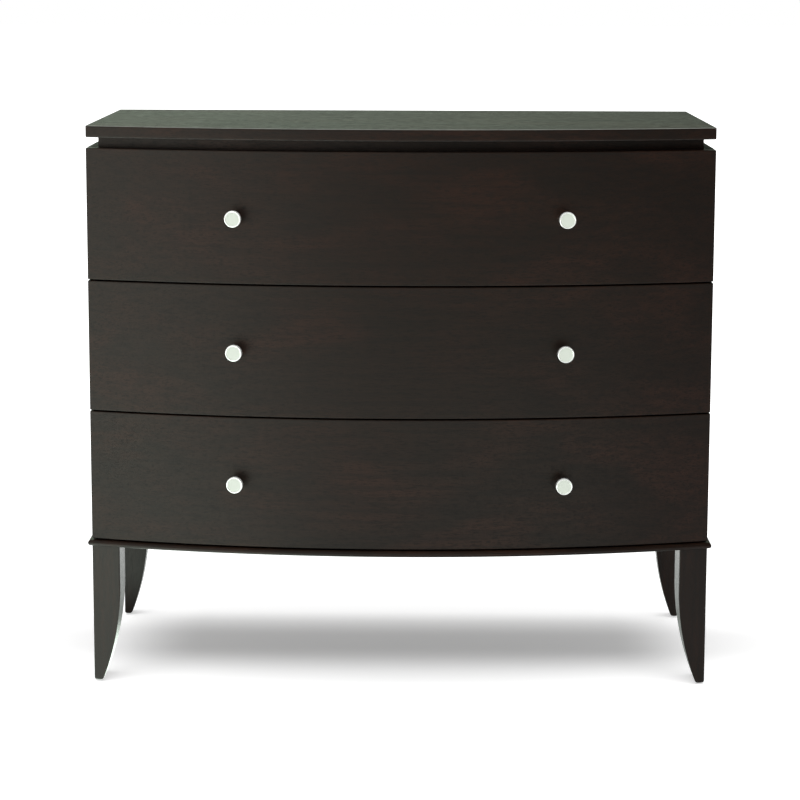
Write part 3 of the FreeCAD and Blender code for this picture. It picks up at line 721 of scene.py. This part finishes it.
# Drawer boxes. Maple sides and backs, dovetailed, with a plywood bottom in grooves all round, under
# clear lacquer. The dovetails are cut in the pack's pieces.
MAPLE = {
    "Ground": (0.56, 0.40, 0.245),
    "Pores": (0.40, 0.26, 0.145),
    "Blotch": (0.60, 0.41, 0.23),
    "Rubbed": (0.64, 0.49, 0.33),
}
PLY = {**MAPLE, "Ground": (0.58, 0.44, 0.28), "Pores": (0.44, 0.31, 0.18)}
CLEAR = {"roughness": 0.42, "shine": 0.5, "lacquer": 0.2, "flecks": 0.25, "figure": 0.5}
maple_sides = wood("maple_sides", "deep", MAPLE, wear=0.5, **CLEAR)
maple_backs = wood("maple_backs", "across", MAPLE, wear=0.5, shift=(0.2, 0.5, 0.1), **CLEAR)
plywood_bottoms = wood(
    "plywood_bottoms", "across", PLY,
    roughness=0.5, shine=0.5, lacquer=0.1, flecks=0.3, figure=0.75, wear=0.2, shift=(0.1, 0.9, 0.4),
)
for drawer in DRAWERS:
    dress(maple_sides, "drawer_maple", f"{drawer}_drawer_left_side", f"{drawer}_drawer_right_side")
    dress(maple_backs, "drawer_maple", f"{drawer}_drawer_back")
    dress(plywood_bottoms, "drawer_plywood", f"{drawer}_drawer_bottom")

# Drawer fronts. Boards bent to the bow and veneered with the grain running across, a hair apart
# from each other, with their edges just eased. They cover the case's edges all round. Inside, they
# are clear maple like the boxes.
FRONT_HALF = 0.5015
FRONT_INSIDE = 1.861
FRONT_LOW = 0.2415
FRONT_HEIGHT = 0.2105
FRONT_EASE = 0.001
INSIDE_FACING = 0.9
VENEER_SHIFT = (1.7, 0.0, 0.31)


def bent_plan(outside, inside, half, ease):
    """The plan of a bent board, bowed on both faces, from half way along its left end."""
    front = bow_face(outside, half)
    back = bow_face(inside, half, -1)
    faces = [
        front,
        straight(front[-1][0], back[0][0], facing=(1, 0)),
        back,
        straight(back[-1][0], front[0][0], facing=(-1, 0)),
    ]
    plan = outline(faces, ease)
    half_end = ARC_STEPS + 2
    return plan[-half_end:] + plan[:-half_end]


def eased_rows(low, high, ease):
    """Rows of inset and height up a board whose top and bottom edges are eased."""
    angles = [math.pi / 2 * step / ARC_STEPS for step in range(ARC_STEPS + 1)]
    rows = [(ease * (1 - math.sin(angle)), low + ease * (1 - math.cos(angle))) for angle in angles]
    rows.append((0, low + 2 * ease))
    return rows + [(inset, low + high - height) for inset, height in reversed(rows)]


front_plan = bent_plan(BOW_RADIUS, FRONT_INSIDE, FRONT_HALF, FRONT_EASE)
for place, drawer in enumerate(DRAWERS):
    low = FRONT_LOW + FRONT_PITCH * place
    rings = [ring(front_plan, *row) for row in eased_rows(low, low + FRONT_HEIGHT, FRONT_EASE)]
    shift = tuple(place * length for length in VENEER_SHIFT)
    veneer = espresso(f"espresso_{drawer}_front", "across", wear=0.3, shift=shift)
    board = skin(
        f"{drawer}_front_board", rings, veneer, "espresso_wood",
        f"{drawer}_drawer", f"{drawer}_drawer_front",
    )
    board.data.materials.append(maple_backs)
    for face in board.data.polygons:
        face.material_index = int(face.normal.y > INSIDE_FACING)

# Knobs. Turned metal with a polished nickel plate: a stem that flares to a wide rim, round a flat
# face that is sunk a little. Each stands square to the bow on a machine screw from the inside.
KNOB_APART = 0.2595
KNOB_STEPS = 72
KNOB_SHARP = math.radians(40)
KNOB_PROFILE = [
    (0.0, 0.0055), (0.0118, 0.0055), (0.0126, 0.0057), (0.0134, 0.0063), (0.0145, 0.0076),
    (0.0160, 0.0099), (0.0172, 0.0119), (0.0179, 0.0129), (0.0186, 0.01325), (0.0230, 0.01325),
    (0.0240, 0.01312), (0.0246, 0.01280), (0.0249, 0.01240), (0.0250, 0.01200), (0.0249, 0.01155),
    (0.0246, 0.01118), (0.0242, 0.01098), (0.0240, 0.01085), (0.0240, 0.0060), (0.0240, 0.0),
]
KNOB_SCREW = {
    "Head radius": 0.004, "Head height": 0.0022, "Shank radius": 0.002, "Shank length": 0.034,
}
# The face's nearly diffuse pale green-grey is the nickel's own colour with a painted reflection of
# the bright studio, and the rim's part-diffuse white is a painted highlight.
NICKEL = (0.90, 0.91, 0.89)
NICKEL_DULL = (0.84, 0.85, 0.82)
NICKEL_FACE_PAINTED_REFLECTION = (0.71, 0.77, 0.68)
NICKEL_CLOUDS = {"scale": 90.0, "detail": 3.0}
NICKEL_CLOUD_LIMITS = (0.4, 0.7)
FACE_FROM = 0.0308
FACE_BLEND = 0.0004
FACE_METAL = 0.03
FACE_SATIN = 0.3
RIM_FROM = 0.0215
RIM_BLEND = 0.0015
RIM_METAL = 0.45
LATHE_RINGS = {"scale": 1.0, "detail": 2.0}
LATHE_TURNED = (2.0, 9000.0, 1.0)
LATHE_ROUGHNESS = {"low": 0.3, "high": 0.7, "to_low": 0.10, "to_high": 0.20}
LATHE_BUMP = {"strength": 0.08, "distance": 0.00005}


def turned_nickel():
    """Nickel plate with the fine rings of the lathe in it: a part-diffuse rim that carries a
    painted highlight, and a satin, nearly diffuse pale green-grey face, the nickel's own colour
    with a painted reflection of the bright studio in it.
    """
    material, nodes, surface = new_material("turned_nickel")
    turning = nodes.add("ShaderNodeUVMap", {"uv_map": "turning"}).outputs["UV"]
    rings = nodes.add("ShaderNodeMapping", Vector=turning, Scale=LATHE_TURNED).outputs[0]
    rings = nodes.noise(rings, **LATHE_RINGS)
    along = nodes.add("ShaderNodeSeparateXYZ", Vector=turning).outputs["Y"]
    face = nodes.spread(along, FACE_FROM, FACE_FROM + FACE_BLEND)
    clouds = nodes.spread(nodes.noise(nodes.place(), **NICKEL_CLOUDS), *NICKEL_CLOUD_LIMITS)
    plate = nodes.blend(clouds, opaque(NICKEL), opaque(NICKEL_DULL))
    nodes.feed(surface, "Base Color", nodes.blend(face, plate, opaque(NICKEL_FACE_PAINTED_REFLECTION)))
    # Rim and face are made part diffuse, for the painted highlight and the painted reflection.
    rim = nodes.spread(along, RIM_FROM, RIM_FROM + RIM_BLEND, 1.0, RIM_METAL)
    metal = nodes.minus(rim, nodes.times(face, RIM_METAL - FACE_METAL))
    nodes.feed(surface, "Metallic", metal)
    polish = nodes.spread(rings, **LATHE_ROUGHNESS)
    nodes.feed(surface, "Roughness", nodes.plus(polish, nodes.times(face, FACE_SATIN)))
    nodes.relief(surface, rings, **LATHE_BUMP)
    return material


def turn(shell, profile, place):
    """Turns a profile of lengths and radii, and maps how far round and along it each point is."""
    turning = shell.loops.layers.uv.verify()
    lengths = [0.0]
    for (far, wide), (further, wider) in zip(profile, profile[1:]):
        lengths.append(lengths[-1] + math.hypot(further - far, wider - wide))
    angles = [2 * math.pi * step / KNOB_STEPS for step in range(KNOB_STEPS)]
    rows = []
    for far, wide in profile:
        points = [(wide * math.cos(angle), wide * math.sin(angle), far) for angle in angles]
        rows.append([shell.verts.new(place @ Vector(p)) for p in (points if wide else points[:1])])
    shell.faces.new(rows[0][::-1])
    for row, (low, high) in enumerate(zip(rows, rows[1:])):
        for step in range(KNOB_STEPS):
            following = (step + 1) % KNOB_STEPS
            if len(high) > 1:
                face = shell.faces.new((low[step], low[following], high[following], high[step]))
                corners = ((step, row), (step + 1, row), (step + 1, row + 1), (step, row + 1))
            else:
                face = shell.faces.new((low[step], low[following], high[0]))
                corners = ((step, row), (step + 1, row), (step + 0.5, row + 1))
            for loop, (turned, reached) in zip(face.loops, corners):
                loop[turning].uv = (turned / KNOB_STEPS, lengths[reached])


def knob_place(way, height):
    """The frame of a knob: its foot on the bow, and its axis square to it."""
    x = KNOB_APART * way
    outward = Vector((x, bow(x) - BOW_CENTRE, 0)).normalized()
    turned = outward.to_track_quat("Z", "Y").to_matrix().to_4x4()
    return Matrix.Translation((x, bow(x), height)) @ turned


def knob_seat(way, height):
    """Where a knob's screw sits inside the front, and the way that its head faces."""
    centre = Vector((0, BOW_CENTRE))
    inward = (centre - Vector((KNOB_APART * way, bow(KNOB_APART)))).normalized()
    return (*(centre - inward * FRONT_INSIDE), height), (*inward, 0)


nickel = turned_nickel()
for place, drawer in enumerate(DRAWERS):
    knobs = bmesh.new()
    height = FRONT_LOW + FRONT_PITCH * place + FRONT_HEIGHT / 2
    for way in (-1, 1):
        turn(knobs, KNOB_PROFILE, knob_place(way, height))
    soften(knobs, KNOB_SHARP)
    body = f"{drawer}_drawer"
    pair = placed(
        f"{drawer}_turned_knobs", knobs, nickel, "polished_nickel", body, f"{drawer}_drawer_knobs"
    )
    pair.data.uv_layers[0].name = "turning"
    seats = [knob_seat(way, height) for way in (-1, 1)]
    name = f"{drawer}_knob_machine_screws"
    screws(name, seats, KNOB_SCREW, body, f"{drawer}_drawer_knob_screws")

# Neck. A frame of rails set back between the case and the top, so that the top seems to float. The
# front rail is sawn to the bow, and the others are square.
NECK_LOW = 0.878
NECK_HIGH = 0.895
NECK_HALF = 0.484
NECK_RADIUS = 1.858
NECK_REAR = -0.1056
espresso_neck_sides = espresso("espresso_neck_sides", "deep", wear=0.2)
neck_plan = bow_plan(NECK_RADIUS, NECK_HALF, NECK_REAR, 0)
neck_rings = [ring(neck_plan, 0, NECK_LOW), ring(neck_plan, 0, NECK_HIGH)]
skin("neck_front_bowed", neck_rings, espresso_across, "espresso_wood", "case", "neck_front_rail")
dress(espresso_across, "espresso_wood", "neck_back_rail")
dress(espresso_neck_sides, "espresso_wood", "neck_left_rail", "neck_right_rail")

# Top. A veneered board with the grain running across, its front sawn to the bow and every edge
# eased, screwed up from below through the neck. Its upper eased edges are painted pale grey-green:
# a painted highlight.
TOP_LOW = 0.895
TOP_HIGH = 0.914
TOP_EASE = 0.0018
TOP_SHIFT = (4.0, 0.3, 0.2)
# The lip's pale grey-green is a painted highlight on the upward-facing eased edges of the top.
LIP = {
    "Ground": (0.200, 0.210, 0.190),
    "Pores": (0.110, 0.113, 0.100),
    "Blotch": (0.200, 0.210, 0.190),
    "Rubbed": ESPRESSO["Rubbed"],
}
EDGE_FACING = 0.25
LIP_FACING = 0.95
espresso_top = espresso(
    "espresso_top", "across",
    roughness=0.42, shine=0.34, wear=0.4, shift=TOP_SHIFT, streaks=0.3, relief=0.0014,
)
lip_painted_highlight = wood(
    "lip_painted_highlight", "across", LIP,
    roughness=0.4, shine=0.3, flecks=0.4, figure=0.5, wear=0.3, shift=TOP_SHIFT,
)
top_plan = bow_plan(BOW_RADIUS, FRONT_HALF, REAR, TOP_EASE)
top_rings = [ring(top_plan, *row) for row in eased_rows(TOP_LOW, TOP_HIGH, TOP_EASE)]
slab = skin("top_slab_bowed", top_rings, espresso_top, "espresso_wood", "case", "top_slab")
slab.data.materials.append(espresso_across)
slab.data.materials.append(lip_painted_highlight)
# Upright faces take the edge stain, and the upward-facing eased edges take the painted highlight.
for face in slab.data.polygons:
    upright = abs(face.normal.z) < EDGE_FACING
    face.material_index = 1 if upright else 2 * (EDGE_FACING < face.normal.z < LIP_FACING)

# Studio. A plain pale floor that shows white but keeps the shadow, a world that falls off to the
# right, and one broad soft sun from above. Camera rays see the floor lifted less in a strip under
# the chest, a painted shadow band. Only reflections see the floor painted dark ahead and to the
# right, with a painted glow at the left, which gives the fronts their sheen.
WHITE = (1.0, 1.0, 1.0, 1.0)
FLOOR_REACH = 45.0
FLOOR_COLOUR = (0.90, 0.90, 0.90)
FLOOR_SHADED = (0.10, 0.08, 0.06)
FLOOR_ROUGHNESS = 0.9
FLOOR_LIFT = 0.24
# Camera-ray lift outside the painted shadow band under the chest.
LIFT_BESIDE_PAINTED_SHADOW = {"low": 0.03, "high": 0.20, "to_low": 0.0, "to_high": 0.30}
SHADOW_MIDDLE = 0.06
FAN_FROM = 0.15
AHEAD = (0.2, -0.1)
DEEP = (1.5, -7.5)
SHADED_ASIDE = (-0.75, 0.35)
FAR_GLOW = {"low": 0.0, "high": -0.70, "to_low": 0.0, "to_high": 3.1}
NEAR_GLOW = {"low": -0.30, "high": 0.15, "to_low": 0.65, "to_high": 1.55}
NEAR_ASIDE = (0.80, 0.50)
NEAR_START = (-0.4, -1.2)
NEAR_END = (-6.6, -1.5)
GLOW_NEAR = (0.93, 1.10, 0.96)
GLOW_FAR = (1.0, 0.90, 0.76)
SKY_ASIDE = {"low": -0.50, "high": 0.50, "to_low": 1.30, "to_high": 0.03}
SKY_BEHIND = (0.2, 0.9)
SKY_GREEN = (0.88, 1.08, 0.855)
SKY_PALE = (0.97, 1.0, 0.94)
SKY_FILL = 0.45
SUN_FROM = (-0.04, -0.24, 1.0)
SUN_STRENGTH = 2.5
SUN_SPREAD = math.radians(62)
LENS = 104.76
SENSOR = 36.0
CAMERA_PLACE = (0.0313, -3.8769, 1.1595)
CAMERA_PITCH = 0.1492
CAMERA_YAW = 0.0085
CAMERA_ROLL = 0.0030
CAMERA_SHIFT = -0.10


def studio_paper():
    """White paper with painted shade and a painted glow by place for mirrored rays, a painted
    shadow band for camera rays, and clear from below.
    """
    material, nodes, surface = new_material("studio_paper")
    surface.inputs["Roughness"].default_value = FLOOR_ROUGHNESS
    surface.inputs["Specular IOR Level"].default_value = 0.0
    rays = nodes.add("ShaderNodeLightPath").outputs
    place = nodes.add("ShaderNodeSeparateXYZ", Vector=nodes.place()).outputs
    ahead = nodes.spread(place["Y"], *AHEAD)
    aside = nodes.maths("DIVIDE", place["X"], nodes.minus(FAN_FROM, place["Y"]))

    # Painted reflection: mirrored rays see the floor painted darker ahead and to the right.
    shaded = nodes.times(ahead, nodes.spread(place["Y"], *DEEP))
    shaded = nodes.times(shaded, nodes.spread(aside, *SHADED_ASIDE))
    mirrored = nodes.times(rays["Is Glossy Ray"], shaded)
    colour = nodes.blend(mirrored, opaque(FLOOR_COLOUR), opaque(FLOOR_SHADED))
    nodes.feed(surface, "Base Color", colour)

    # Painted glow for mirrored rays, mostly at the left.
    near = nodes.spread(place["Y"], *NEAR_END)
    near_glow = nodes.times(nodes.spread(aside, **NEAR_GLOW), nodes.spread(aside, *NEAR_ASIDE))
    near_glow = nodes.times(near_glow, nodes.spread(place["Y"], *NEAR_START))
    glow = nodes.plus(nodes.spread(aside, **FAR_GLOW), nodes.times(near, near_glow))
    glow = nodes.times(rays["Is Glossy Ray"], nodes.times(ahead, glow))
    glow_colour = nodes.blend(near, opaque(GLOW_FAR), opaque(GLOW_NEAR))
    glow_colour = nodes.blend(rays["Is Glossy Ray"], WHITE, glow_colour)
    nodes.feed(surface, "Emission Color", glow_colour)

    seen = nodes.maths("MAXIMUM", rays["Is Camera Ray"], rays["Is Glossy Ray"])
    seen = nodes.maths("MAXIMUM", seen, rays["Is Transmission Ray"])
    lift = nodes.times(nodes.times(seen, FLOOR_LIFT), nodes.minus(1.0, mirrored))
    # Painted shadow band: camera rays see the floor lifted less in a strip under the chest's
    # middle, so that shade shows there and is lifted to white elsewhere.
    from_shadow = nodes.maths("ABSOLUTE", nodes.minus(place["Y"], SHADOW_MIDDLE))
    lift_beside_painted_shadow = nodes.times(nodes.spread(from_shadow, **LIFT_BESIDE_PAINTED_SHADOW), rays["Is Camera Ray"])
    nodes.feed(surface, "Emission Strength", nodes.plus(nodes.plus(lift, lift_beside_painted_shadow), glow))

    below = nodes.add("ShaderNodeNewGeometry").outputs["Backfacing"]
    nodes.feed(surface, "Alpha", nodes.minus(1.0, nodes.times(below, rays["Is Camera Ray"])))
    return material


floor_mesh = bpy.data.meshes.new("studio_floor")
floor_corners = [(-1, -1), (1, -1), (1, 1), (-1, 1)]
floor_corners = [(x * FLOOR_REACH, y * FLOOR_REACH, 0.0) for x, y in floor_corners]
floor_mesh.from_pydata(floor_corners, [], [(0, 1, 2, 3)])
floor_mesh.materials.append(studio_paper())
floor = in_scene("studio_floor", floor_mesh)

world = bpy.data.worlds.new("studio_world")
bpy.context.scene.world = world
world.use_nodes = True
sky = Nodes(world.node_tree)
background = world.node_tree.nodes["Background"]
rays = sky.add("ShaderNodeLightPath").outputs
direction = sky.add("ShaderNodeTexCoord").outputs["Generated"]
direction = sky.add("ShaderNodeSeparateXYZ", Vector=direction).outputs
tint = sky.blend(sky.spread(direction["Y"], *SKY_BEHIND), opaque(SKY_PALE), opaque(SKY_GREEN))
sky.feed(background, "Color", sky.blend(rays["Is Glossy Ray"], WHITE, tint))
reflected = sky.times(rays["Is Glossy Ray"], sky.spread(direction["X"], **SKY_ASIDE))
soft = sky.times(rays["Is Diffuse Ray"], SKY_FILL)
sky.feed(background, "Strength", sky.plus(rays["Is Camera Ray"], sky.plus(reflected, soft)))

sun_data = bpy.data.lights.new("sun", "SUN")
sun_data.energy = SUN_STRENGTH
sun_data.angle = SUN_SPREAD
sun = in_scene("sun", sun_data)
sun.visible_glossy = False
sun.rotation_euler = Vector(SUN_FROM).to_track_quat("Z", "Y").to_euler()

camera_data = bpy.data.cameras.new("camera")
camera_data.lens = LENS
camera_data.sensor_width = SENSOR
camera_data.shift_y = CAMERA_SHIFT
camera = in_scene("camera", camera_data)
yaw = Matrix.Rotation(CAMERA_YAW, 4, "Z")
pitch = Matrix.Rotation(math.pi / 2 - CAMERA_PITCH, 4, "X")
roll = Matrix.Rotation(CAMERA_ROLL, 4, "Z")
camera.matrix_world = Matrix.Translation(CAMERA_PLACE) @ (yaw @ pitch) @ roll
bpy.context.scene.camera = camera
bpy.context.scene.view_settings.view_transform = "Standard"
